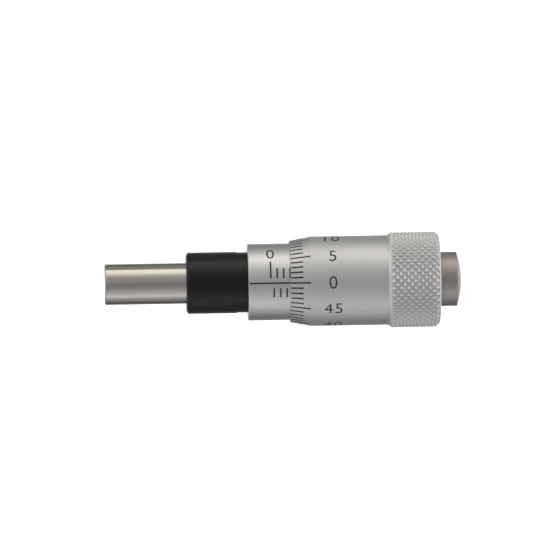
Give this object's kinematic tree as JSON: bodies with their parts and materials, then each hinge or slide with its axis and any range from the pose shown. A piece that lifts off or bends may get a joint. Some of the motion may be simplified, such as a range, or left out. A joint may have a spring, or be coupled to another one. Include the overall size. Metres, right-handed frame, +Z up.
{
  "type": "micrometer head",
  "caption": "Micrometer head with a plain clamping stem, a graduated sleeve, and a knurled thimble that screws a round spindle in and out to set or read a length.",
  "frame": {"origin": "on the spindle axis, at the middle of the stem's ground clamping length", "axes": "+X along the spindle axis from the measuring face towards the end cap, -Y the side with the reading line, +Z up"},
  "size_m": [0.0552, 0.0148, 0.0148],
  "materials": {
    "blackened_steel": "satin",
    "satin_chrome": "satin",
    "turned_steel": "satin",
    "ground_steel": "polished",
    "polished_steel": "polished"
  },
  "bodies": {
    "stem": {"stem_body": "blackened_steel", "adjusting_nut": "turned_steel"},
    "sleeve": {"graduated_sleeve": "satin_chrome"},
    "spindle": {"spindle": "ground_steel"},
    "thimble": {"thimble": "satin_chrome", "end_cap": "polished_steel"}
  },
  "joints": [
    {"name": "sleeve_zero_set", "type": "hinge", "parent": "stem", "child": "sleeve", "pos_m": [0.00535, 0, 0], "axis": [1, 0, 0], "range_deg": [-15, 15]},
    {"name": "spindle_feed", "type": "slide", "parent": "stem", "child": "spindle", "axis": [1, 0, 0], "range_m": [-0.003, 0.012]},
    {"name": "thimble_turn", "type": "hinge", "parent": "spindle", "child": "thimble", "pos_m": [0.0325, 0, 0], "axis": [1, 0, 0], "range_deg": [-2160, 8640]}
  ],
  "couplings": [
    {"joint": "thimble_turn", "follows": "spindle_feed", "rad_per_m": 12566}
  ]
}
